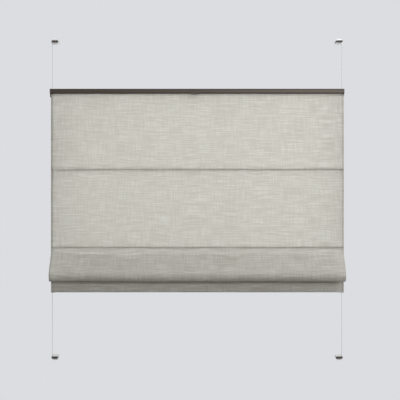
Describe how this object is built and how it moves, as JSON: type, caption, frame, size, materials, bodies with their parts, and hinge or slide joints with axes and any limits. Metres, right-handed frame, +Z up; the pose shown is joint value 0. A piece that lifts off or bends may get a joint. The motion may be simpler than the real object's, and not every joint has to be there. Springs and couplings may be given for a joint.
{
  "type": "roman blind",
  "caption": "Tensioned roman blind: a cloth hangs from a sliding head rail on two taut cords between clamps, with flat panels, batten seams and one forward fold.",
  "frame": {"origin": "on the casement's face, midway between the two cords and between the upper and lower cord shoes", "axes": "+X across the blind to the right as seen from the room, +Y into the casement, +Z up"},
  "size_m": [0.9, 0.0832, 0.9886],
  "materials": {
    "bronze_aluminium": "satin",
    "bronze_plastic": "satin",
    "white_steel": "satin",
    "white_plastic": "satin",
    "steel": "satin",
    "linen": "matte",
    "cord": "satin",
    "soft_pad": "matte"
  },
  "bodies": {
    "fixings": {"clamp_bracket_top_left": "white_steel", "clamp_bracket_top_right": "white_steel", "clamp_bracket_bottom_left": "white_steel", "clamp_bracket_bottom_right": "white_steel", "cord_shoe_top_left": "bronze_plastic", "cord_shoe_top_right": "bronze_plastic", "cord_shoe_bottom_left": "bronze_plastic", "cord_shoe_bottom_right": "bronze_plastic", "clamp_screws": "steel", "clamp_pads": "soft_pad", "cord_ferrules": "steel", "tension_cord_left": "cord", "tension_cord_right": "cord"},
    "head_rail": {"head_rail": "bronze_aluminium", "cloth_strip": "white_plastic", "handle": "bronze_plastic", "rail_end_cap_left": "bronze_plastic", "rail_cord_guide_left": "white_plastic", "rail_brake_pad_left": "white_plastic", "rail_brake_spring_left": "steel", "rail_end_cap_right": "bronze_plastic", "rail_cord_guide_right": "white_plastic", "rail_brake_pad_right": "white_plastic", "rail_brake_spring_right": "steel", "upper_panel": "linen"},
    "first_batten": {"batten_1": "white_plastic", "batten_sleeve_1": "linen", "batten_1_slider_left": "white_plastic", "batten_1_slider_right": "white_plastic", "middle_panel": "linen"},
    "second_batten": {"batten_2": "white_plastic", "batten_sleeve_2": "linen", "batten_2_slider_left": "white_plastic", "batten_2_slider_right": "white_plastic", "fold_panel": "linen"},
    "lower_carrier": {"carrier_rail": "bronze_aluminium", "keder_strip": "white_plastic", "hem_panel": "linen", "weight_rod": "steel", "carrier_guide_left": "bronze_plastic", "carrier_brake_pad_left": "white_plastic", "carrier_brake_spring_left": "steel", "carrier_guide_right": "bronze_plastic", "carrier_brake_pad_right": "white_plastic", "carrier_brake_spring_right": "steel"}
  },
  "joints": [
    {"name": "head_rail_slide", "type": "slide", "parent": "fixings", "child": "head_rail", "axis": [0, 0, 1], "range_m": [-0.08, 0.14]},
    {"name": "first_batten_lift", "type": "slide", "parent": "head_rail", "child": "first_batten", "axis": [0, 0, 1], "range_m": [0, 0.21], "deforming": ["upper_panel"]},
    {"name": "second_batten_lift", "type": "slide", "parent": "first_batten", "child": "second_batten", "axis": [0, 0, 1], "range_m": [0, 0.222], "deforming": ["middle_panel"]},
    {"name": "lower_carrier_slide", "type": "slide", "parent": "second_batten", "child": "lower_carrier", "axis": [0, 0, 1], "range_m": [-0.19, 0.012], "deforming": ["fold_panel"]}
  ]
}
